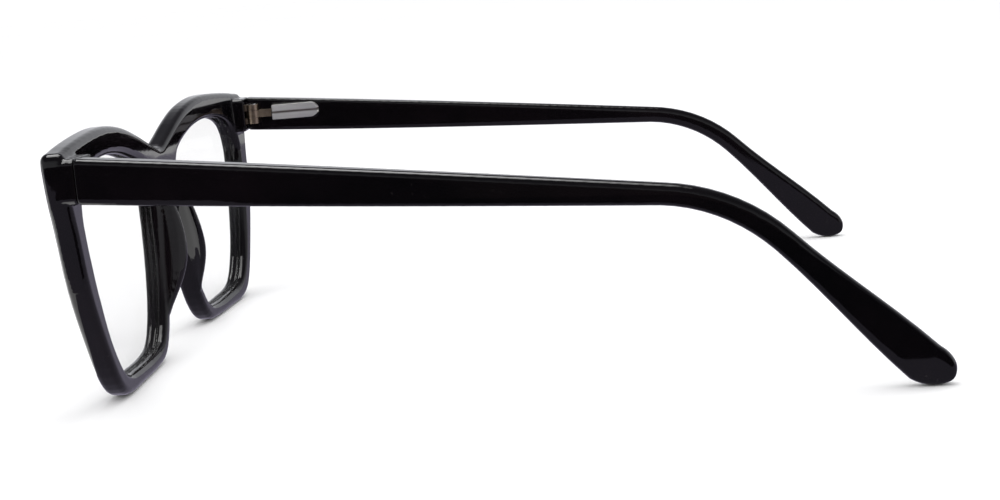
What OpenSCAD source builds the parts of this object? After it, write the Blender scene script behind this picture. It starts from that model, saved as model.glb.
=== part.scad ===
// Full-rim acetate eyeglasses frame with built-in nose pads and sprung hinges.
// The frame stands on its two lower rims and its two temple tips, with the temples open.
// X runs across the face, +Y goes back towards the ears, Z is up from the surface.

/* [Front] */
// Width of each lens opening
lens_w = 51; // [44:0.5:62]
// Height of each lens opening
lens_h = 39.4; // [32:0.2:46]
// Gap between the two lens openings at the bridge
bridge_w = 18; // [14:0.5:22]
// Rim width above the lens
rim_top = 5.0; // [3:0.1:7]
// Rim width below the lens
rim_bottom = 2.9; // [2.4:0.1:6]
// Rim width at the temple side of the lens
rim_side = 4.4; // [3.6:0.1:6]
// How far the end piece stands out beyond the rim
end_out = 2.6; // [1.5:0.1:5]
// Thickness of the front
front_t = 4.1; // [3.2:0.1:5]
// Radius that the front is curved to, in plan
front_r = 1000; // [300:10:1500]
// Backward lean of the lower rims, in degrees
front_tilt = 2.5; // [0:0.5:10]
// Depth of the end piece, from the front's face at its outer edge to the seam
end_depth = 5.5; // [5:0.1:8]

/* [Temples] */
// Length of the straight part of the temple, from the seam to the bend's corner
straight_len = 105.7; // [85:1:125]
// Length of the drop behind the ear, from the bend's corner to the tip
drop_len = 44.5; // [34:0.5:54]
// Angle that the temple bends down behind the ear
ear_angle = 40; // [25:1:48]
// Radius of the bend
ear_r = 30; // [18:1:45]
// Thickness of the temple at the hinge
temple_t = 4.2; // [3.6:0.1:5.5]
// Thickness of the temple at the tip
tip_t = 3.2; // [2.6:0.1:4]
// Height of the temple at the hinge
temple_h = 7.6; // [6.8:0.1:11]
// Height of the temple at its narrowest, before the bend
neck_h = 3.6; // [3.2:0.1:6]
// Height of the temple at its tip
tip_h = 7.0; // [5:0.1:10]
// Outward splay of each open temple, in degrees
splay = 4; // [0:0.5:6]
// How far the middle of the hinge lies below the top of the front
hinge_drop = 6.6; // [5:0.1:12]

/* [Hinge] */
// Outer diameter of the hinge knuckles
knuckle_d = 3.0; // [2.6:0.1:3.6]
// Height of all the knuckles together
barrel_h = 4.4; // [3.8:0.1:5.4]
// Height of the middle knuckle
mid_h = 1.6; // [1.3:0.1:2.2]
// Diameter of the hinge screw
screw_d = 1.4; // [1.2:0.1:1.6]
// Length of the spring housing
house_l = 10.6; // [9:0.2:13]
// Height of the spring housing
house_h = 3.3; // [3:0.1:3.8]
// Width of the spring housing, across the temple
house_w = 3.4; // [3:0.1:4]
// Diameter of the bore in the spring housing
bore_d = 2.2; // [2:0.05:2.4]
// Diameter of the slider's rod
rod_d = 0.9; // [0.8:0.05:1.1]
// Wire of the coil spring
wire_d = 0.35; // [0.25:0.01:0.42]
// Turns of the coil spring
turns = 6; // [4:1:8]

/* [Lenses, pads and core wires] */
// Thickness of the lens
lens_t = 1.8; // [1.4:0.1:2.4]
// Depth of the groove that holds the lens
groove = 0.7; // [0.4:0.05:0.9]
// Height of the nose pad
pad_h = 26.4; // [16:0.2:30]
// How far the nose pad reaches back from the front
pad_out = 4.0; // [3:0.1:7]
// Thickness of the nose pad
pad_t = 2.8; // [2:0.1:3.6]
// Thickness of the core wire
core_t = 1.2; // [0.8:0.1:1.6]
// Height of the core wire at the hinge end
core_h = 2.2; // [1.6:0.1:2.8]

/* [Fits] */
// Running clearance round the screw and the rod, on the radius
run_gap = 0.04; // [0.02:0.01:0.08]
// Gap between faces that swing past each other
face_gap = 0.06; // [0.04:0.01:0.1]
// Gap at the seam between the end piece and the open temple
seam_gap = 0.1; // [0.06:0.01:0.2]
// Clearance of a piece set into acetate
seat_gap = 0.02; // [0:0.01:0.05]

/* [Hidden] */

black = [0.02, 0.02, 0.024];
steel = [0.78, 0.78, 0.8];
bronze = [0.55, 0.42, 0.3];
clear = [0.9, 0.93, 0.95, 0.25];

half_w = bridge_w / 2 + lens_w + rim_side + end_out;
top_z = rim_bottom + lens_h + rim_top;
hinge_z = top_z - hinge_drop;
side_x = half_w - end_out;
// Where the curved front face lies at the end piece, measured back from the seam
sag_end = front_r - sqrt(front_r * front_r - half_w * half_w);

// Point on a Catmull-Rom curve between b and c
function cr(a, b, c, d, t) =
    0.5 * (2 * b + (c - a) * t + (2 * a - 5 * b + 4 * c - d) * t * t
    + (3 * b - a - 3 * c + d) * t * t * t);
// Closed and open curves through a list of points, with k steps to each span
function closed_curve(p, k) =
    [for (i = [0:len(p) - 1]) for (j = [0:k - 1])
        cr(p[(i + len(p) - 1) % len(p)], p[i], p[(i + 1) % len(p)], p[(i + 2) % len(p)], j / k)];
function open_curve(p, k, first, last) =
    [for (i = [0:len(p) - 2]) for (j = [0:k - 1])
        cr(i == 0 ? first : p[i - 1], p[i], p[i + 1], i == len(p) - 2 ? last : p[i + 2], j / k)];
// Eases from 0 to 1
function ease(t) = t * t * (3 - 2 * t);
function unit(v) = v / max(norm(v), 1e-9);
function clamp(v, a, b) = min(max(v, a), b);

// --- Front ---------------------------------------------------------------------------------
// Both outlines of one side, as seen from the front, run from the underside of the bridge
// down the nose side, along the bottom, up the temple side and back to the top of the bridge.
n_x = bridge_w / 2;
zb = rim_bottom;
zt = top_z;
// Opening: fractions of the lens box, from the nose side and from the bottom
open_uv = [
    [0.014, 0.80], [0.000, 0.70], [0.010, 0.56], [0.045, 0.36], [0.105, 0.17],
    [0.200, 0.035], [0.340, 0.000], [0.520, 0.000], [0.690, 0.016], [0.790, 0.080],
    [0.880, 0.240], [0.945, 0.470], [0.980, 0.690], [0.980, 0.800], [0.945, 0.890],
    [0.860, 0.950], [0.720, 0.985], [0.540, 0.995], [0.350, 0.975], [0.180, 0.930],
    [0.075, 0.885], [0.030, 0.845]
];
open_pts = [for (p = open_uv) [n_x + p[0] * lens_w, zb + p[1] * lens_h]];
// Outside: each point stands off from the opening or from the nose
out_pts = [
    [0, zb + 0.72 * lens_h], [n_x * 0.42, zb + 0.675 * lens_h],
    [n_x * 0.70, zb + 0.53 * lens_h], [n_x * 0.94, zb + 0.32 * lens_h],
    [n_x + 0.070 * lens_w, zb + 0.09 * lens_h], [n_x + 0.180 * lens_w, zb * 0.40],
    [n_x + 0.330 * lens_w, 0.1], [n_x + 0.520 * lens_w, 0.08],
    [n_x + 0.740 * lens_w, zb * 0.14], [n_x + 0.860 * lens_w, zb + 0.020 * lens_h],
    [n_x + 0.970 * lens_w, zb + 0.230 * lens_h], [side_x - 1.2, zb + 0.480 * lens_h],
    [side_x + 0.8, hinge_z - temple_h / 2 - 4.8], [half_w - 0.5, hinge_z - temple_h / 2 + 0.6],
    [half_w - 0.40, hinge_z + temple_h / 2 + 0.05], [half_w - 4.4, hinge_z + temple_h / 2 + 1.3],
    [n_x + 0.780 * lens_w, zt - 0.35], [n_x + 0.530 * lens_w, zt],
    [n_x + 0.310 * lens_w, zt - 1.1], [n_x + 0.130 * lens_w, zt - 3.2],
    [n_x * 0.62, zt - 6.2], [0, zt - 7.5]
];
k_front = 4;
opening = closed_curve(open_pts, k_front);
outside = concat(
    open_curve(out_pts, k_front, [-out_pts[1][0], out_pts[1][1]], [-out_pts[20][0], out_pts[20][1]]),
    [for (j = [0:k_front - 1]) out_pts[21] + (out_pts[0] - out_pts[21]) * j / k_front]
);
ns = len(opening);
// Stations from here to the end of the list, and station 0, lie on the middle plane
mid_from = ns - k_front;
function on_mid(i) = i == 0 || i >= mid_from;
// Inward normals
function n_in(p, i, m) =
    let (d = unit(p[(i + 1) % m] - p[(i + m - 1) % m])) [-d[1], d[0]];
function out_n(i) =
    i == 0 ? [0, 1] : i == mid_from ? [0, -1] : on_mid(i) ? [0, 0] : n_in(outside, i, ns);
// Bends a flat point (x, z) at depth w behind the face onto the curved, leaning front
function sag(x) = front_r - sqrt(front_r * front_r - x * x);
function lay_y(x, z, w) = w - end_depth + sag(x) - sag_end - (z - hinge_z) * tan(front_tilt);
function lay(x, z, w) = [x, lay_y(x, z, w) - y_mid, z];
bevel = 0.9;
groove_w = front_t * 0.45;
// Section of the rim at one station, from the opening's front edge round to the outside
inner_sec = [
    [0.55, 0], [0.12, 0.35], [0, 0.8], [0, groove_w - groove], [groove, groove_w],
    [0, groove_w + groove], [0.0, front_t - 1.1], [0.25, front_t - 0.45], [0.9, front_t]
];
outer_sec = [
    [0.95, front_t], [0.3, front_t - 0.35], [0, front_t - 1.0], [0, bevel * 1.1],
    [0.28, 0.42], [bevel, 0]
];
sec_n = len(inner_sec) + len(outer_sec);
function rim_pt(i, j) =
    j < len(inner_sec)
    ? let (n = n_in(opening, i, ns), s = inner_sec[j], q = opening[i] - n * s[0]) [q[0], q[1], s[1]]
    : let (s = outer_sec[j - len(inner_sec)], n = out_n(i), q = outside[i] + n * s[0]) [q[0], q[1], s[1]];
rim_flat = [for (i = [0:ns - 1]) for (j = [0:sec_n - 1]) rim_pt(i, j)];
// The left half shares the right half's points on the middle plane
function share(i, j, side) =
    (on_mid(i % ns) && j >= len(inner_sec) ? 0 : side * ns * sec_n) + (i % ns) * sec_n + j;
function quad(a, b, c, d, flip) = flip ? [[a, c, b], [a, d, c]] : [[a, b, c], [a, c, d]];
function outer_wall(j) = j >= len(inner_sec) && j < sec_n - 1;
front_faces = [
    for (side = [0, 1]) for (i = [0:ns - 1]) for (j = [0:sec_n - 1])
        if (!(on_mid(i) && on_mid((i + 1) % ns) && outer_wall(j)))
            for (f = quad(share(i, j, side), share(i + 1, j, side),
                share(i + 1, (j + 1) % sec_n, side), share(i, (j + 1) % sec_n, side), side == 0)) f
];

// --- Hinge place ---------------------------------------------------------------------------
// Everything at a hinge is drawn in a frame with its origin on the screw's axis at hinge
// height, +Y along the open temple and +X away from the face.
inner_x = knuckle_d / 2 + 0.45;
rod_x = inner_x - 0.75;
outer_x = inner_x + temple_t;
seam_y = -knuckle_d / 2 - 0.1;
pin_x = half_w - outer_x * cos(splay) - seam_y * sin(splay);
pin_y = outer_x * sin(splay) - seam_y * cos(splay);
module at_hinge(side)
    mirror([side < 0 ? 1 : 0, 0, 0]) translate([pin_x, pin_y - y_mid, hinge_z]) rotate([0, 0, -splay])
        children();

house_y = knuckle_d / 2 + 3.1;
house_x = rod_x - house_w / 2;
collar = 0.8;
plug_l = 1.2;
line_d = 0.16;
bore_y = house_y + collar;
plug_y = house_y + house_l - plug_l - 0.5;
retain_l = 0.8;
retain_y = plug_y - retain_l - 0.15;
lug_in = -2.6;

module cyl_y(d, y0, y1, fn = 48)
    translate([0, y0, 0]) rotate([-90, 0, 0]) cylinder(d = d, h = y1 - y0, $fn = fn);
module disc(d, z0, z1, fn = 48)
    translate([0, 0, z0]) cylinder(d = d, h = z1 - z0, $fn = fn);
module box(x0, x1, y0, y1, z0, z1)
    translate([x0, y0, z0]) cube([x1 - x0, y1 - y0, z1 - z0]);

// End piece, drawn in the hinge's frame: a bevelled bar behind the rim
lug_c = 0.8;
module end_piece() {
    h = temple_h / 2;
    intersection() {
        translate([0, seam_y, 0]) rotate([90, 0, 0]) linear_extrude(end_depth) polygon([
            [lug_in, -h + 0.5], [lug_in + 0.5, -h], [outer_x - lug_c, -h], [outer_x, -h + lug_c],
            [outer_x, h - lug_c], [outer_x - lug_c, h], [lug_in + 0.5, h], [lug_in, h - 0.5]
        ]);
        translate([0, 0, -h - 1]) linear_extrude(temple_h + 2) polygon([
            [lug_in - 2.2, seam_y - 2.4], [lug_in - 0.2, seam_y - 0.3], [lug_in + 0.2, seam_y],
            [outer_x - 0.12, seam_y], [outer_x, seam_y - 0.12], [outer_x + 0.02, seam_y - 2],
            [outer_x - 0.12, seam_y - 3.4], [outer_x - 0.5, seam_y - end_depth + 1.0],
            [lug_in - 2.2, seam_y - end_depth + 1.0]
        ]);
    }
}

tail_x = 1.0;
tail_back = seam_y - 3.0;
tail_h = barrel_h / 2 + 0.3;
module leaf_tail(g)
    box(-tail_x - g, tail_x + g, tail_back - g, seam_y - 0.7, -tail_h - g, tail_h + g);
module leaf_necks(g)
    for (s = [-1, 1]) mirror([0, 0, s < 0 ? 1 : 0])
        box(-tail_x - g, tail_x + g, seam_y - 1, -0.4, mid_h / 2 + face_gap - g, barrel_h / 2 + g);

// --- Temple --------------------------------------------------------------------------------
// The centre line lies in the hinge frame's YZ plane: straight, bent down, straight again.
bend_half = ear_r * tan(ear_angle / 2);
s_bend = straight_len - bend_half;
s_drop = s_bend + ear_r * ear_angle * PI / 180;
cap_a = tip_h * 0.72;
// The tip noses forward from the line of the drop
tip_lift = 12;
s_cap = s_drop + drop_len - bend_half - cap_a;
function mid_flat(s) =
    s < s_bend ? [s, 0]
    : s < s_drop ? let (a = (s - s_bend) / ear_r * 180 / PI)
        [s_bend + ear_r * sin(a), -ear_r * (1 - cos(a))]
    : let (d = s - s_drop) [s_bend + ear_r * sin(ear_angle) + d * cos(ear_angle),
        -ear_r * (1 - cos(ear_angle)) - d * sin(ear_angle)];
function mid_angle(s) = s < s_bend ? 0 : s < s_drop ? (s - s_bend) / ear_r * 180 / PI : ear_angle;
// The temple leans down just enough for its tip to rest on the surface
cap_c = mid_flat(s_cap);
rest_h = hinge_z - norm([cap_a * sin(ear_angle + 4.4 - tip_lift), tip_h / 2 * cos(ear_angle + 4.4)]);
pitch = asin(rest_h / norm(cap_c)) + atan2(cap_c[1], cap_c[0]);
function mid_line(s) =
    let (p = mid_flat(s)) [p[0] * cos(pitch) + p[1] * sin(pitch), p[1] * cos(pitch) - p[0] * sin(pitch)];
function up_angle(s) = s < s_bend ? pitch * ease(clamp(s / s_bend, 0, 1)) : pitch + mid_angle(s);
// Height and thickness of the temple along its length
function body_h(s) =
    s < s_bend ? neck_h + (temple_h - neck_h) * (1 - pow(s / s_bend, 1.35))
    : s < s_drop ? neck_h + (tip_h - neck_h) * 0.10 * ease((s - s_bend) / (s_drop - s_bend))
    : neck_h + (tip_h - neck_h) * (0.10 + 0.90 * ease(clamp((s - s_drop) / (s_cap - s_drop), 0, 1)));
function body_t(s) =
    s < 16 ? temple_t
    : s < s_bend ? temple_t + (tip_t + 0.2 - temple_t) * ease((s - 16) / (s_bend - 16))
    : tip_t + 0.2 * (1 - clamp((s - s_bend) / 20, 0, 1));
straight_at = [0, 2, 5, 9, 16, 24, 32, 40, 48, 56, 64, 72, 80, 87];
bend_steps = 9;
drop_steps = 7;
cap_steps = 8;
stations = concat(
    [for (s = straight_at) if (s < s_bend - 3) [s, 1]],
    [for (i = [0:bend_steps]) [s_bend + (s_drop - s_bend) * i / bend_steps, 1]],
    [for (i = [1:drop_steps]) [s_drop + (s_cap - s_drop) * i / drop_steps, 1]],
    [for (i = [1:cap_steps]) [s_cap + cap_a * sin(84 * i / cap_steps), cos(84 * i / cap_steps)]]
);
// Rounded bar: u across the temple, v up it; soft is the share of rounding on the inner edges
function bar(h, t, c, r) = [
    [t - c, h], [t - c * 0.30, h - c * 0.25], [t, h - c],
    [t, -h + c], [t - c * 0.30, -h + c * 0.25], [t - c, -h],
    [r, -h], [r * 0.25, -h + r * 0.25], [0, -h + r],
    [0, h - r], [r * 0.25, h - r * 0.25], [r, h]
];
bar_n = 12;
function temple_ring(i) =
    let (s = stations[i][0], k = stations[i][1], a = up_angle(min(s, s_cap)), d = max(s - s_cap, 0),
        m = mid_line(min(s, s_cap)) + d * [cos(a - tip_lift), -sin(a - tip_lift)],
        h = body_h(min(s, s_cap)) / 2 * k, t0 = body_t(s), t = t0 * (0.45 + 0.55 * sqrt(k)),
        e = ease(clamp(s / s_drop, 0, 1)),
        c = min(0.85 + 0.35 * e, h * 0.95), r = min(0.45 + 0.75 * e, h * 0.95, t * 0.45))
    [for (q = bar(h, t, c, r))
        [outer_x - t - (t0 - t) / 2 + q[0], seam_y + seam_gap + m[0] + q[1] * sin(a), m[1] + q[1] * cos(a)]];
temple_pts = [for (i = [0:len(stations) - 1]) for (p = temple_ring(i)) p];
t_last = len(stations) - 1;
temple_faces = concat(
    [for (i = [0:t_last - 1]) for (j = [0:bar_n - 1])
        for (f = quad(i * bar_n + j, (i + 1) * bar_n + j, (i + 1) * bar_n + (j + 1) % bar_n,
            i * bar_n + (j + 1) % bar_n, false)) f],
    [[for (j = [0:bar_n - 1]) j]],
    [[for (j = [bar_n - 1:-1:0]) t_last * bar_n + j]]
);

// The whole part is moved so that the middle of its depth is at Y = 0
y_first = min([for (p = rim_flat) lay_y(p[0], p[1], p[2])]);
y_last = max([for (p = temple_pts) pin_y - p[0] * sin(splay) + p[1] * cos(splay)]);
y_mid = (y_first + y_last) / 2;
rim_right = [for (p = rim_flat) lay(p[0], p[1], p[2])];
rim_left = [for (p = rim_right) [-p[0], p[1], p[2]]];

module front() color(black) {
    difference() {
        union() {
            polyhedron(points = concat(rim_right, rim_left), faces = front_faces, convexity = 10);
            for (s = [-1, 1]) at_hinge(s) end_piece();
        }
        for (s = [-1, 1]) at_hinge(s) {
            leaf_tail(seat_gap);
            box(-tail_x - seat_gap, tail_x + seat_gap, seam_y - 1, seam_y + 1,
                -tail_h - seat_gap, tail_h + seat_gap);
        }
    }
}

// --- Lens ----------------------------------------------------------------------------------
lens_edge = groove - 0.05;
lens_c = [n_x + lens_w / 2, zb + lens_h / 2];
function lens_ring(f, w, off) =
    [for (i = [0:ns - 1])
        let (q = opening[i] - n_in(opening, i, ns) * off, p = lens_c + (q - lens_c) * f)
            lay(p[0], p[1], w)];
lens_pts = concat(
    [for (f = [0.12, 0.4, 0.72]) for (p = lens_ring(f, groove_w - lens_t / 2, -0.05)) p],
    lens_ring(1, groove_w - lens_t / 2, -0.05),
    lens_ring(1, groove_w - lens_edge, -0.05),
    lens_ring(1, groove_w, lens_edge),
    lens_ring(1, groove_w + lens_edge, -0.05),
    lens_ring(1, groove_w + lens_t / 2, -0.05),
    [for (f = [0.72, 0.4, 0.12]) for (p = lens_ring(f, groove_w + lens_t / 2, -0.05)) p],
    [lay(lens_c[0], lens_c[1], groove_w - lens_t / 2), lay(lens_c[0], lens_c[1], groove_w + lens_t / 2)]
);
lens_rows = 11;
lens_faces = concat(
    [for (r = [0:lens_rows - 2]) for (i = [0:ns - 1])
        for (f = quad(r * ns + i, r * ns + (i + 1) % ns, (r + 1) * ns + (i + 1) % ns,
            (r + 1) * ns + i, false)) f],
    [for (i = [0:ns - 1]) [i, lens_rows * ns, (i + 1) % ns]],
    [for (i = [0:ns - 1]) [(lens_rows - 1) * ns + i, (lens_rows - 1) * ns + (i + 1) % ns, lens_rows * ns + 1]]
);
module lens(side) color(clear) mirror([side < 0 ? 1 : 0, 0, 0])
    polyhedron(points = lens_pts, faces = lens_faces, convexity = 4);

// --- Nose pad ------------------------------------------------------------------------------
// A thin wing that grows out of the back of the nose side of the rim
pad_n = 16;
pad_top = zb + 0.80 * lens_h;
// The wing swells quickly at its top and tapers slowly into the rim at its foot
function pad_wing(t) =
    let (u = pow(clamp(t, 0.01, 0.995), 1.15)) pad_out * pow(sin(180 * u), u < 0.5 ? 0.7 : 1.2);
function pad_x(t) = n_x * 0.70 + t * 0.2 + t * t * 6.6;
function pad_ring(t) =
    let (z = pad_top - t * pad_h, b = pad_wing(t), x = pad_x(t),
        th = pad_t * (0.55 + 0.45 * sin(180 * clamp(t, 0.05, 0.95))))
    [for (q = [
        [th * 0.5, -1.0], [th * 0.5, b * 0.35], [th * 0.30, b * 0.72], [-th * 0.05, b * 0.95],
        [-th * 0.35, b], [-th * 0.62, b * 0.92], [-th * 0.66, b * 0.7], [-th * 0.5, b * 0.35],
        [-th * 0.42, -1.0]
    ]) lay(x + q[0] - 0.12 * q[1], z, front_t + q[1])];
pad_m = 9;
pad_pts = [for (i = [0:pad_n]) for (p = pad_ring(i / pad_n)) p];
pad_faces = concat(
    [for (i = [0:pad_n - 1]) for (j = [0:pad_m - 1])
        for (f = quad(i * pad_m + j, i * pad_m + (j + 1) % pad_m, (i + 1) * pad_m + (j + 1) % pad_m,
            (i + 1) * pad_m + j, false)) f],
    [[for (j = [pad_m - 1:-1:0]) j]],
    [[for (j = [0:pad_m - 1]) pad_n * pad_m + j]]
);
module nose_pad(side) color(black) mirror([side < 0 ? 1 : 0, 0, 0])
    polyhedron(points = pad_pts, faces = pad_faces, convexity = 4);

// Flat view of the housing: square at the hinge end, round at the far end
module house_plan(g)
    union() {
        translate([house_y - g, -house_h / 2 - g])
            square([house_l - house_h / 2 + g, house_h + 2 * g]);
        translate([house_y + house_l - house_h / 2, 0]) circle(d = house_h + 2 * g, $fn = 48);
    }
module house_block(g, x1)
    multmatrix([[0, 0, 1, house_x], [1, 0, 0, 0], [0, 1, 0, 0], [0, 0, 0, 1]])
        linear_extrude(x1 - house_x) house_plan(g);

// Core wire outline, along the centre line
core_from = house_y + house_l + 1.2 - seam_y;
core_to = s_cap - 1;
function core_half(s) = (core_h + (1.5 - core_h) * clamp((s - core_from) / (s_bend - core_from), 0, 1)) / 2;
core_s = [for (i = [0:27]) core_from + (core_to - core_from) * i / 27];
function core_edge(s, d) =
    let (m = mid_line(s), a = up_angle(s), v = core_half(s) * d)
        [seam_y + seam_gap + m[0] + v * sin(a), m[1] + v * cos(a)];
core_line = concat([for (s = core_s) core_edge(s, 1)],
    [for (i = [len(core_s) - 1:-1:0]) core_edge(core_s[i], -1)]);
core_x = outer_x - tip_t / 2 - core_t / 2 - 0.15;
module core_bar()
    multmatrix([[0, 0, 1, core_x], [1, 0, 0, 0], [0, 1, 0, 0], [0, 0, 0, 1]])
        linear_extrude(core_t) polygon(core_line);

module temple(side) color(black) at_hinge(side)
    difference() {
        polyhedron(points = temple_pts, faces = temple_faces, convexity = 6);
        house_block(seat_gap, house_x + house_w + seat_gap);
        core_bar();
    }
module core_wire(side) color(steel) at_hinge(side) core_bar();

// --- Spring hinge --------------------------------------------------------------------------
module hinge_leaf(side) color(bronze) at_hinge(side)
    difference() {
        union() {
            disc(knuckle_d, mid_h / 2 + face_gap, barrel_h / 2);
            disc(knuckle_d, -barrel_h / 2, -mid_h / 2 - face_gap);
            leaf_necks(0);
            leaf_tail(0);
        }
        disc(screw_d + 2 * run_gap, -barrel_h, barrel_h);
        disc(screw_d + 0.9, barrel_h / 2 - 0.45, barrel_h);
    }

module hinge_screw(side) color(steel) at_hinge(side)
    difference() {
        union() {
            disc(screw_d, -barrel_h / 2 + 0.05, barrel_h / 2 - 0.2);
            disc(screw_d + 0.8, barrel_h / 2 - 0.41, barrel_h / 2 + 0.15);
        }
        box(-2, 2, -0.14, 0.14, barrel_h / 2 - 0.15, barrel_h);
    }

module slider(side) color(bronze) at_hinge(side)
    difference() {
        union() {
            disc(knuckle_d, -mid_h / 2, mid_h / 2);
            box(-0.9, inner_x - 0.2, 0.3, house_y - seam_gap, -mid_h / 2, mid_h / 2);
            translate([rod_x, 0, 0]) cyl_y(rod_d, house_y - 0.6, retain_y + retain_l);
        }
        disc(screw_d + 2 * run_gap, -barrel_h, barrel_h);
    }

module retainer(side) color(steel) at_hinge(side)
    translate([rod_x, 0, 0]) difference() {
        cyl_y(bore_d - 2 * run_gap - 0.06, retain_y, retain_y + retain_l);
        cyl_y(rod_d, retain_y - 1, retain_y + retain_l + 1);
    }

// Coil between the housing's collar and the retainer on the rod
coil_r = (rod_d / 2 + bore_d / 2) / 2;
coil_y0 = bore_y + wire_d / 2 + 0.02;
coil_y1 = retain_y - wire_d / 2 - 0.02;
coil_k = 12;
coil_m = 8;
coil_n = turns * coil_k;
function coil_mid(i) =
    let (a = 360 * i / coil_k) [coil_r * cos(a), coil_y0 + (coil_y1 - coil_y0) * i / coil_n, coil_r * sin(a)];
coil_pts = [for (i = [0:coil_n]) let (a = 360 * i / coil_k, c = coil_mid(i))
    for (j = [0:coil_m - 1]) let (b = 360 * j / coil_m)
        c + wire_d / 2 * [cos(b) * cos(a), sin(b), cos(b) * sin(a)]];
coil_faces = concat(
    [for (i = [0:coil_n - 1]) for (j = [0:coil_m - 1])
        for (f = quad(i * coil_m + j, i * coil_m + (j + 1) % coil_m,
            (i + 1) * coil_m + (j + 1) % coil_m, (i + 1) * coil_m + j, true)) f],
    [[for (j = [0:coil_m - 1]) j]],
    [[for (j = [coil_m - 1:-1:0]) coil_n * coil_m + j]]
);
module spring(side) color(steel) at_hinge(side)
    translate([rod_x, 0, 0]) polyhedron(points = coil_pts, faces = coil_faces, convexity = 12);

module housing(side) color(steel) at_hinge(side)
    difference() {
        house_block(0, house_x + house_w);
        translate([rod_x, 0, 0]) {
            cyl_y(rod_d + 2 * run_gap, house_y - 1, bore_y + 1);
            cyl_y(bore_d, bore_y, house_y + house_l + 1);
        }
        box(house_x - 1, house_x + line_d, house_y + 0.8, house_y + house_l - 1.6, -line_d, line_d);
    }

module housing_plug(side) color(steel) at_hinge(side)
    translate([rod_x, 0, 0]) cyl_y(bore_d, plug_y, plug_y + plug_l);

front();
nose_pad(1);  // nose_pad_left
nose_pad(-1);  // nose_pad_right
lens(1);  // lens_left
lens(-1);  // lens_right
hinge_leaf(1);  // hinge_leaf_left
hinge_leaf(-1);  // hinge_leaf_right
hinge_screw(1);  // hinge_screw_left
hinge_screw(-1);  // hinge_screw_right
slider(1);  // slider_left
slider(-1);  // slider_right
spring(1);  // spring_left
spring(-1);  // spring_right
retainer(1);  // retainer_left
retainer(-1);  // retainer_right
housing(1);  // housing_left
housing(-1);  // housing_right
housing_plug(1);  // housing_plug_left
housing_plug(-1);  // housing_plug_right
temple(1);  // temple_left
temple(-1);  // temple_right
core_wire(1);  // core_wire_left
core_wire(-1);  // core_wire_right
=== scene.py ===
import math

import bpy
from mathutils import Matrix, Vector


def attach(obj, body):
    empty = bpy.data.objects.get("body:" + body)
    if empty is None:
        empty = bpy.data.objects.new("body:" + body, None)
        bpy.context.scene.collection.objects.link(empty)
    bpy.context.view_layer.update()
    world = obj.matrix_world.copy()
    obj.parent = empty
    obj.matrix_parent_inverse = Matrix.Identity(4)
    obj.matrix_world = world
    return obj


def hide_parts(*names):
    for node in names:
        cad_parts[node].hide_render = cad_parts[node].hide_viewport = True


bl_info = {
    "name": "Acetate eyeglasses frame",
    "version": (1, 0, 0),
    "blender": (4, 5, 0),
    "location": "3D View > Sidebar > Eyewear",
    "description": "Finishes and studio for a full-rim acetate frame with sprung hinges",
    "category": "Object",
}

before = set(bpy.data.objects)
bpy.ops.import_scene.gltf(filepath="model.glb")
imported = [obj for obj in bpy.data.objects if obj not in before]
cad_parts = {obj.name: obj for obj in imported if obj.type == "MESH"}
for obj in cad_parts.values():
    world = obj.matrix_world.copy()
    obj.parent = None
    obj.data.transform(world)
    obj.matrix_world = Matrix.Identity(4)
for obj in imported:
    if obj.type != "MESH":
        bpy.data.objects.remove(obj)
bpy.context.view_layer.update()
MM = 0.001
WELD = 0.002 * MM
BLACK = (0.0, 0.0, 0.0)
WHITE = (1.0, 1.0, 1.0)
EVEN = (-1.0, 1.0)              # reaches past both ends of every card
FLOOR_REACH = 9.0
FLOOR_CARD_REACH = 0.6
FLOOR_CARD_RISE = 0.0004        # keeps the floor's card just clear of the floor
FLOOR_CARD_TONE = (0.40, 0.375, 0.48)
FRONT_CARD_SHARE = 0.3          # brightness of the front card beside the top one
POLISH_ROUNDS = 8


# ---------------------------------------------------------------- shader expressions
class Sock:
    """A node socket that takes part in Python expressions."""

    def __init__(self, mat, out):
        self.mat = mat
        self.out = out

    def _math(self, op, other=None, swap=False):
        a, b = (other, self) if swap else (self, other)
        values = [a] if b is None else [a, b]
        return self.mat.add("ShaderNodeMath", {"operation": op}, values)

    def __add__(self, o):
        return self._math("ADD", o)

    def __radd__(self, o):
        return self._math("ADD", o, True)

    def __sub__(self, o):
        return self._math("SUBTRACT", o)

    def __rsub__(self, o):
        return self._math("SUBTRACT", o, True)

    def __mul__(self, o):
        return self._math("MULTIPLY", o)

    def __rmul__(self, o):
        return self._math("MULTIPLY", o, True)

    def __truediv__(self, o):
        return self._math("DIVIDE", o)

    def __pow__(self, o):
        return self._math("POWER", o)

    def __gt__(self, o):
        return self._math("GREATER_THAN", o)

    def clamp(self):
        return self.mat.add("ShaderNodeClamp", {}, {"Value": self})

    def abs(self):
        return self._math("ABSOLUTE")


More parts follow.
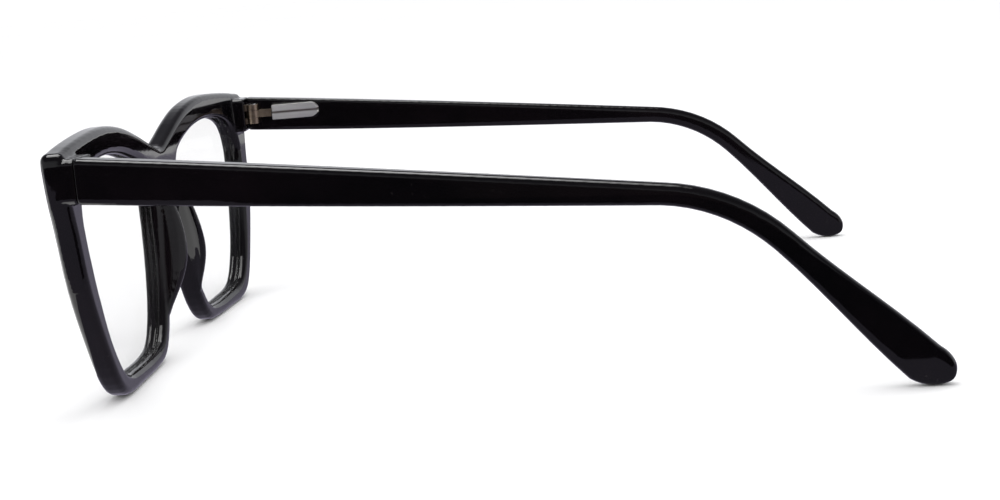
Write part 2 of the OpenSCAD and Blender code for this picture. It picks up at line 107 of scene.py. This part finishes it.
class Finish:
    """One material and the nodes in it."""

    def __init__(self, name):
        self.m = bpy.data.materials.get(name) or bpy.data.materials.new(name)
        self.m.use_nodes = True
        self.tree = self.m.node_tree
        self.tree.nodes.clear()
        self.end = self.tree.nodes.new("ShaderNodeOutputMaterial")

    def add(self, kind, settings=None, inputs=None, out=0):
        node = self.tree.nodes.new(kind)
        for key, value in (settings or {}).items():
            if key == "stops":
                ramp = node.color_ramp
                while len(ramp.elements) > 1:
                    ramp.elements.remove(ramp.elements[-1])
                for n, (pos, colour) in enumerate(value):
                    e = ramp.elements[0] if n == 0 else ramp.elements.new(pos)
                    e.position = pos
                    e.color = (*colour, 1) if len(colour) == 3 else colour
            else:
                setattr(node, key, value)
        pairs = inputs.items() if isinstance(inputs, dict) else enumerate(inputs or [])
        for key, value in pairs:
            sock = node.inputs[key]
            if isinstance(value, Sock):
                self.tree.links.new(value.out, sock)
            elif value is not None:
                is_colour = hasattr(sock.default_value, "__len__") and len(sock.default_value) == 4
                if is_colour and len(value) == 3:
                    value = (*value, 1)
                sock.default_value = value
        return Sock(self, node.outputs[out])

    def here(self):
        return self.add("ShaderNodeTexCoord", out="Object")

    def noise(self, scale, detail=3.0, rough=0.5, at=None, distortion=0.0):
        return self.add("ShaderNodeTexNoise", {}, {
            "Vector": at or self.here(), "Scale": scale, "Detail": detail,
            "Roughness": rough, "Distortion": distortion}, out="Fac")

    def stretched(self, scale):
        return self.add("ShaderNodeMapping", {}, {"Vector": self.here(), "Scale": scale})

    def mix(self, fac, a, b):
        return self.add("ShaderNodeMix", {"data_type": "RGBA"}, {0: fac, 6: a, 7: b}, out=2)

    def ramp(self, fac, stops):
        return self.add("ShaderNodeValToRGB", {"stops": stops}, {"Fac": fac}, out="Color")

    def spread(self, fac, low, high):
        return self.add("ShaderNodeMapRange", {}, {
            "Value": fac, "From Min": low, "From Max": high, "To Min": 0.0, "To Max": 1.0}, out=0)

    def bump(self, height, strength, distance, under=None):
        values = {"Height": height, "Strength": strength, "Distance": distance}
        if under is not None:
            values["Normal"] = under
        return self.add("ShaderNodeBump", {}, values, out="Normal")

    def show(self, surface):
        self.tree.links.new(surface.out, self.end.inputs["Surface"])
        return self.m


def scratches(f, scale, width, seed):
    """Fine lines in one direction, thinned out by a slow noise."""
    at = f.add("ShaderNodeMapping", {}, {
        "Vector": f.here(), "Rotation": (0.0, 0.0, seed), "Scale": (scale, scale * 0.035, scale * 0.6)})
    lines = f.noise(1.0, 2.0, 0.6, at)
    gate = f.noise(70.0, 2.0, 0.5)
    return f.spread(lines, 1 - width, 1.0) * f.spread(gate, 0.48, 0.62)


def acetate_finish(tone, depth, wear):
    """Tumbled and polished black cellulose acetate."""
    f = Finish("polished_black_acetate")
    cloud = f.noise(38.0, 4.0, 0.55)
    fine = f.noise(420.0, 3.0, 0.6)
    haze = f.noise(95.0, 3.0, 0.6, None, 0.4)
    deep = tuple(c * 0.55 for c in tone)
    warm = (tone[0] * 1.35, tone[1] * 1.05, tone[2] * 1.05)
    body = f.mix(f.spread(cloud, 0.35, 0.68), deep, warm)
    edge = f.add("ShaderNodeNewGeometry", out="Pointiness")
    worn = f.spread(edge, 0.515, 0.60) * f.spread(fine, 0.35, 0.7)
    body = f.mix(worn * (0.35 * wear), body, tuple(min(1, c * 3 + 0.01) for c in tone))
    lines = scratches(f, 900.0, 0.30, 0.4)
    dust = f.spread(f.noise(1500.0, 1.0, 0.5), 0.70, 0.78) * f.spread(haze, 0.5, 0.7)
    body = f.mix(dust * (0.10 * wear), body, (0.22, 0.21, 0.20))
    rough = 0.045 + f.spread(haze, 0.3, 0.75) * 0.035 + lines * (0.10 * wear) + worn * 0.08
    wave = f.bump(cloud, 0.05, depth)
    skin = f.bump(fine, 0.035, depth * 0.25, wave)
    return f.show(f.add("ShaderNodeBsdfPrincipled", {}, {
        "Base Color": body, "Roughness": rough, "IOR": 1.48, "Specular IOR Level": 0.30,
        "Normal": skin}))


def metal_finish(name, bright, dark, grain, rough, wear, seam=None):
    """Turned or milled metal with a directional grain and a little tarnish in it, a painted highlight on its
    convex edges and, where a seam is given, a dark seam line with painted shade below it.
    """
    f = Finish(name)
    stretch = f.stretched(grain)
    brushed = f.noise(1.0, 4.0, 0.65, stretch)
    cloud = f.noise(260.0, 3.0, 0.6)
    spots = f.spread(f.noise(900.0, 2.0, 0.5), 0.62, 0.74) * wear
    tone = f.mix(f.spread(brushed, 0.3, 0.7), dark, bright)
    tone = f.mix(f.spread(cloud, 0.45, 0.8) * (0.5 * wear), tone, tuple(c * 0.6 for c in dark))
    # Painted highlight: convex edges are mixed toward a brighter copy of the metal colour.
    edge = f.spread(f.add("ShaderNodeNewGeometry", out="Pointiness"), 0.51, 0.58)
    tone = f.mix(edge * 0.5, tone, tuple(min(1.0, c * 1.15) for c in bright))
    if seam is not None:
        height = f.add("ShaderNodeSeparateXYZ", {}, {"Vector": f.here()}, out="Z") - seam
        groove = 1.0 - f.spread(height.abs(), 0.10 * MM, 0.38 * MM)
        # Painted shade: below the seam the metal is mixed toward a darker tone, reaching a quarter strength
        # 1.8 mm down.
        under = f.spread(0.0 - height, 0.0, 1.8 * MM)
        tone = f.mix(under * 0.25, tone, tuple(c * 0.7 for c in dark))
        tone = f.mix(groove * 0.85, tone, (0.09, 0.06, 0.045))
    r = rough + f.spread(brushed, 0.2, 0.8) * 0.12 + spots * 0.2
    skin = f.bump(brushed, 0.25, 0.00004, f.bump(cloud, 0.10, 0.00005))
    return f.show(f.add("ShaderNodeBsdfPrincipled", {}, {
        "Base Color": tone, "Metallic": 1.0, "Roughness": r, "Normal": skin}))


def lens_finish(tint, show):
    """Clear polished lens with a faint edge tint, smears and dust."""
    f = Finish("clear_polished_lens")
    smear = f.noise(60.0, 3.0, 0.6, None, 1.2)
    dust = f.spread(f.noise(1300.0, 1.0, 0.5), 0.72, 0.80)
    pale = tuple(c * 0.08 for c in tint)
    tone = f.mix(f.spread(smear, 0.4, 0.7), pale, tuple(c * 1.3 for c in pale))
    glass = f.add("ShaderNodeBsdfPrincipled", {}, {
        "Base Color": tone, "Roughness": 0.02 + f.spread(smear, 0.5, 0.8) * 0.03,
        "IOR": 1.5, "Normal": f.bump(smear, 0.02, 0.0001)})
    through = f.add("ShaderNodeBsdfTransparent", {}, {"Color": WHITE})
    facing = f.add("ShaderNodeLayerWeight", {}, {"Blend": 0.12}, out="Fresnel")
    cover = (facing * 0.14 + show + dust * 0.02 + f.spread(smear, 0.55, 0.9) * 0.01).clamp()
    return f.show(f.add("ShaderNodeMixShader", {}, {0: cover, 1: through, 2: glass}))


def floor_finish(tone):
    f = Finish("pale_studio_floor")
    cloud = f.noise(3.0, 2.0, 0.5)
    body = f.mix(f.spread(cloud, 0.3, 0.7), tone, tuple(c * 0.985 for c in tone))
    return f.show(f.add("ShaderNodeBsdfPrincipled", {}, {
        "Base Color": body, "Roughness": 0.9 + cloud * 0.05, "Specular IOR Level": 0.15}))


def card_finish(name, tone, glow, reach, power):
    """A sheet whose light goes from tone to glow over a stretch of Y."""
    f = Finish(name)
    y = f.add("ShaderNodeSeparateXYZ", {}, {"Vector": f.here()}, out="Y")
    soft = f.spread(y + f.noise(30.0, 2.0, 0.5) * 0.02, *reach)
    return f.show(f.add("ShaderNodeBsdfPrincipled", {}, {
        "Base Color": BLACK, "Roughness": 1.0, "Specular IOR Level": 0.0,
        "Emission Color": f.mix(soft, tone, glow), "Emission Strength": power}))


# ---------------------------------------------------------------- settings
class FinishSettings(bpy.types.PropertyGroup):
    acetate_tone: bpy.props.FloatVectorProperty(
        name="Acetate colour", description="Body colour of the black acetate",
        default=(0.0030, 0.0027, 0.0036), min=0, max=1, subtype="COLOR")
    acetate_wave: bpy.props.FloatProperty(
        name="Polish waviness", description="Height of the slow unevenness left by tumbling",
        default=0.0002, min=0, max=0.002, unit="LENGTH")
    edge_round: bpy.props.FloatProperty(
        name="Edge rounding", description="Size of the rounding that polishing leaves on edges",
        default=0.0002, min=0.0001, max=0.001, unit="LENGTH")
    wear: bpy.props.FloatProperty(
        name="Wear", description="Share of fine scratches, dust and tarnish",
        default=0.5, min=0, max=1, subtype="FACTOR")
    steel_tone: bpy.props.FloatVectorProperty(
        name="Steel colour", description="Colour of the spring housings and screws",
        default=(0.68, 0.665, 0.64), min=0, max=1, subtype="COLOR")
    bronze_tone: bpy.props.FloatVectorProperty(
        name="Knuckle colour", description="Colour of the hinge leaves and sliders",
        default=(0.30, 0.235, 0.175), min=0, max=1, subtype="COLOR")
    lens_tint: bpy.props.FloatVectorProperty(
        name="Lens tint", description="Faint tint of the clear lenses",
        default=(0.93, 0.96, 0.95), min=0, max=1, subtype="COLOR")
    lens_show: bpy.props.FloatProperty(
        name="Lens presence", description="How much of the lens shows when seen straight on",
        default=0.01, min=0, max=1, subtype="FACTOR")


class StageSettings(bpy.types.PropertyGroup):
    camera_at: bpy.props.FloatVectorProperty(
        name="Camera place", description="Where the camera stands",
        default=(0.3463, 0.0272, 0.0688), subtype="TRANSLATION", unit="LENGTH")
    camera_turn: bpy.props.FloatVectorProperty(
        name="Camera turn", description="Heading from -X, downward pitch and roll",
        default=(math.radians(4.95), math.radians(8.94), math.radians(-4.86)),
        subtype="EULER", unit="ROTATION")
    camera_lens: bpy.props.FloatProperty(
        name="Focal length", description="Focal length on a 36 mm wide sensor, in millimetres",
        default=63.7, min=20, max=200)
    floor_tone: bpy.props.FloatVectorProperty(
        name="Floor colour", description="Colour of the studio floor",
        default=(0.93, 0.93, 0.935), min=0, max=1, subtype="COLOR")
    top_power: bpy.props.FloatProperty(
        name="Top light", description="Power of the overhead softbox", default=1.5, min=0, unit="POWER")
    tent_light: bpy.props.FloatProperty(
        name="Tent light", description="Brightness of the white tent around the set", default=1.12, min=0)
    card_light: bpy.props.FloatProperty(
        name="Card light", description="Brightness of the lit cards seen in polished surfaces",
        default=9.0, min=0)


def level_square(reach, height):
    """Corners of a level square round the middle of the set."""
    return [(x * reach, y * reach, height) for x, y in ((-1, -1), (1, -1), (1, 1), (-1, 1))]


def settings():
    return bpy.context.scene.eyewear_finish, bpy.context.scene.eyewear_stage


def dress(obj, material):
    """Puts one finish on an object and shades it smooth."""
    mesh = obj.data
    mesh.materials.clear()
    mesh.materials.append(material)
    if "custom_normal" in mesh.attributes:
        mesh.attributes.remove(mesh.attributes["custom_normal"])
    mesh.shade_smooth()
    weld = obj.modifiers.new("weld", "WELD")
    weld.merge_threshold = WELD


def tumble(obj, grain, rounds):
    """Rounds every edge off a little, as tumbling in a barrel does to acetate."""
    blank = obj.modifiers.new("blank", "REMESH")
    blank.mode = "VOXEL"
    blank.voxel_size = grain
    blank.use_smooth_shade = True
    polish = obj.modifiers.new("polish", "SMOOTH")
    polish.factor = 0.5
    polish.iterations = rounds


def machine(names, material, crease=32.0):
    """Gives CAD nodes a finish and keeps their machined edges crisp."""
    for name in names:
        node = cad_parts[name]
        dress(node, material)
        split = node.modifiers.new("crisp", "EDGE_SPLIT")
        split.split_angle = math.radians(crease)


def joined(name, names, body):
    """One moulded piece made from several CAD nodes that are glued up and polished as one."""
    points, faces = [], []
    for part in names:
        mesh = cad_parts[part].data
        first = len(points)
        points += [v.co[:] for v in mesh.vertices]
        faces += [[first + v for v in p.vertices] for p in mesh.polygons]
    mesh = bpy.data.meshes.new(name)
    mesh.from_pydata(points, [], faces)
    obj = bpy.data.objects.new(name, mesh)
    bpy.context.scene.collection.objects.link(obj)
    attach(obj, body)
    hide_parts(*names)
    return obj


# ---------------------------------------------------------------- operators
class EYEWEAR_OT_stage(bpy.types.Operator):
    """Sets up the camera, the floor, the softboxes and the dark cards"""
    bl_idname = "eyewear.stage"
    bl_label = "Studio"

    def execute(self, context):
        _, st = settings()
        scene = context.scene
        yaw, pitch, roll = st.camera_turn
        look = Vector((-math.cos(yaw) * math.cos(pitch), -math.sin(yaw) * math.cos(pitch), -math.sin(pitch)))
        right = look.cross(Vector((0, 0, 1))).normalized()
        up = right.cross(look)
        right, up = right * math.cos(roll) + up * math.sin(roll), up * math.cos(roll) - right * math.sin(roll)
        cam = bpy.data.objects.new("studio_camera", bpy.data.cameras.new("studio_camera"))
        scene.collection.objects.link(cam)
        turn = Matrix((right, up, -look)).transposed().to_4x4()
        cam.matrix_world = Matrix.Translation(Vector(st.camera_at)) @ turn
        cam.data.lens = st.camera_lens
        cam.data.sensor_width = 36.0
        cam.data.clip_start = 0.01
        scene.camera = cam
        self.floor(scene, st)
        self.cards(scene, st)
        self.lights(scene, st)
        self.world(scene, st)
        scene.view_settings.view_transform = "Standard"
        scene.view_settings.look = "None"
        return {"FINISHED"}

    def plane(self, scene, name, corners, material):
        mesh = bpy.data.meshes.new(name)
        mesh.from_pydata(corners, [], [(0, 1, 2, 3)])
        mesh.materials.append(material)
        obj = bpy.data.objects.new(name, mesh)
        scene.collection.objects.link(obj)
        return obj

    def floor(self, scene, st):
        self.plane(scene, "studio_floor", level_square(FLOOR_REACH, 0.0),
                   floor_finish(tuple(st.floor_tone)))

    def card(self, scene, name, corners, tone, glow, reach, power=1.0):
        """A sheet that only shows in polished surfaces."""
        card = self.plane(scene, name, corners, card_finish(name, tone, glow, reach, power))
        for ray in ("camera", "diffuse", "transmission", "volume_scatter", "shadow"):
            setattr(card, "visible_" + ray, False)

    def cards(self, scene, st):
        self.card(scene, "dark_card",
                  [(0.20, -0.40, 0.0), (0.20, 0.40, 0.0), (0.22, 0.40, 0.085), (0.22, -0.40, 0.085)],
                  BLACK, (0.060, 0.046, 0.044), (-0.035, -0.025))
        self.card(scene, "near_dark_card",
                  [(0.094, -0.052, 0.0), (0.094, 0.16, 0.0), (0.094, 0.16, 0.030), (0.094, -0.052, 0.030)],
                  BLACK, BLACK, EVEN)
        self.card(scene, "floor_card",
                  level_square(FLOOR_CARD_REACH, FLOOR_CARD_RISE), FLOOR_CARD_TONE, FLOOR_CARD_TONE, EVEN)
        lit = st.card_light
        self.card(scene, "top_card",
                  [(-0.35, -0.30, 0.6), (0.25, -0.30, 0.6), (0.25, 0.16, 0.6), (-0.35, 0.16, 0.6)],
                  WHITE, (0.1, 0.1, 0.1), (-0.02, 0.16), lit)
        self.card(scene, "front_card",
                  [(0.0, -0.078, 0.001), (0.085, -0.078, 0.001), (0.085, -0.70, 0.10), (0.0, -0.70, 0.10)],
                  WHITE, WHITE, EVEN, FRONT_CARD_SHARE * lit)

    def lights(self, scene, st):
        data = bpy.data.lights.new("top_softbox", "AREA")
        data.shape = "RECTANGLE"
        data.size, data.size_y = 0.5, 0.5
        data.energy = st.top_power
        lamp = bpy.data.objects.new("top_softbox", data)
        scene.collection.objects.link(lamp)
        lamp.location = (-0.05, 0.02, 0.75)
        lamp.visible_glossy = False

    def world(self, scene, st):
        world = bpy.data.worlds.new("studio_world")
        scene.world = world
        world.use_nodes = True
        nodes, links = world.node_tree.nodes, world.node_tree.links
        nodes.clear()
        out = nodes.new("ShaderNodeOutputWorld")
        path = nodes.new("ShaderNodeLightPath")
        tent = nodes.new("ShaderNodeBackground")
        tent.inputs["Color"].default_value = (1, 1, 1, 1)
        tent.inputs["Strength"].default_value = st.tent_light
        shine = nodes.new("ShaderNodeBackground")
        place = nodes.new("ShaderNodeTexCoord")
        axes = nodes.new("ShaderNodeSeparateXYZ")
        links.new(place.outputs["Generated"], axes.inputs[0])
        ramp = nodes.new("ShaderNodeValToRGB")
        ramp.color_ramp.elements[0].position = 0.0
        ramp.color_ramp.elements[0].color = (0.80, 0.81, 0.85, 1)
        ramp.color_ramp.elements[1].position = 1.0
        ramp.color_ramp.elements[1].color = (0.16, 0.16, 0.18, 1)
        span = nodes.new("ShaderNodeMapRange")
        span.inputs["From Min"].default_value = 0.28
        span.inputs["From Max"].default_value = 0.58
        links.new(axes.outputs["Z"], span.inputs["Value"])
        links.new(span.outputs[0], ramp.inputs[0])
        links.new(ramp.outputs[0], shine.inputs["Color"])
        mix = nodes.new("ShaderNodeMixShader")
        links.new(path.outputs["Is Glossy Ray"], mix.inputs[0])
        links.new(tent.outputs[0], mix.inputs[1])
        links.new(shine.outputs[0], mix.inputs[2])
        links.new(mix.outputs[0], out.inputs["Surface"])


class EYEWEAR_OT_acetate(bpy.types.Operator):
    """Finishes the front, the nose pads and the temples in polished acetate"""
    bl_idname = "eyewear.acetate"
    bl_label = "Acetate"

    def execute(self, context):
        fi, _ = settings()
        acetate = acetate_finish(tuple(fi.acetate_tone), fi.acetate_wave, fi.wear)
        pieces = [joined("polished_front", ["front", "nose_pad_left", "nose_pad_right"],
                         "front")]
        pieces += [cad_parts["temple_" + side] for side in ("left", "right")]
        for piece in pieces:
            dress(piece, acetate)
            tumble(piece, fi.edge_round, POLISH_ROUNDS)
        return {"FINISHED"}


class EYEWEAR_OT_lenses(bpy.types.Operator):
    """Finishes the two clear lenses"""
    bl_idname = "eyewear.lenses"
    bl_label = "Lenses"

    def execute(self, context):
        fi, _ = settings()
        machine(["lens_left", "lens_right"], lens_finish(tuple(fi.lens_tint), fi.lens_show))
        return {"FINISHED"}


class EYEWEAR_OT_hinges(bpy.types.Operator):
    """Finishes the sprung hinges and the core wires in their metals"""
    bl_idname = "eyewear.hinges"
    bl_label = "Hinges"

    def execute(self, context):
        fi, _ = settings()
        steel = tuple(fi.steel_tone)
        bronze = tuple(fi.bronze_tone)
        both = ("left", "right")
        heights = [v.co.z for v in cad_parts["housing_left"].data.vertices]
        machine(["housing_" + s for s in both], metal_finish(
            "satin_steel", tuple(min(1.0, c * 1.3) for c in steel), steel,
            (1500, 130, 1500), 0.30, fi.wear, (min(heights) + max(heights)) / 2))
        machine(["hinge_screw_" + s for s in both] + ["retainer_" + s for s in both]
              + ["housing_plug_" + s for s in both], metal_finish(
            "turned_steel", steel, tuple(c * 0.6 for c in steel), (900, 900, 5200), 0.18, fi.wear))
        machine(["hinge_leaf_" + s for s in both] + ["slider_" + s for s in both], metal_finish(
            "bronzed_nickel", bronze, tuple(c * 0.5 for c in bronze), (1400, 1400, 4200), 0.26, fi.wear))
        machine(["spring_" + s for s in both] + ["core_wire_" + s for s in both], metal_finish(
            "drawn_wire", tuple(c * 0.85 for c in steel), tuple(c * 0.5 for c in steel),
            (5200, 700, 5200), 0.2, fi.wear))
        return {"FINISHED"}


class EYEWEAR_PT_panel(bpy.types.Panel):
    bl_label = "Eyewear"
    bl_space_type = "VIEW_3D"
    bl_region_type = "UI"
    bl_category = "Eyewear"

    def draw(self, context):
        for part in OPERATORS:
            self.layout.operator(part.bl_idname)


OPERATORS = (EYEWEAR_OT_stage, EYEWEAR_OT_acetate, EYEWEAR_OT_lenses, EYEWEAR_OT_hinges)
CLASSES = (FinishSettings, StageSettings, *OPERATORS, EYEWEAR_PT_panel)


def register():
    for c in CLASSES:
        bpy.utils.register_class(c)
    bpy.types.Scene.eyewear_finish = bpy.props.PointerProperty(type=FinishSettings)
    bpy.types.Scene.eyewear_stage = bpy.props.PointerProperty(type=StageSettings)


def unregister():
    del bpy.types.Scene.eyewear_stage
    del bpy.types.Scene.eyewear_finish
    for c in reversed(CLASSES):
        bpy.utils.unregister_class(c)


def main():
    register()
    bpy.ops.eyewear.stage()
    bpy.ops.eyewear.acetate()
    bpy.ops.eyewear.lenses()
    bpy.ops.eyewear.hinges()


if __name__ == "__main__":
    main()
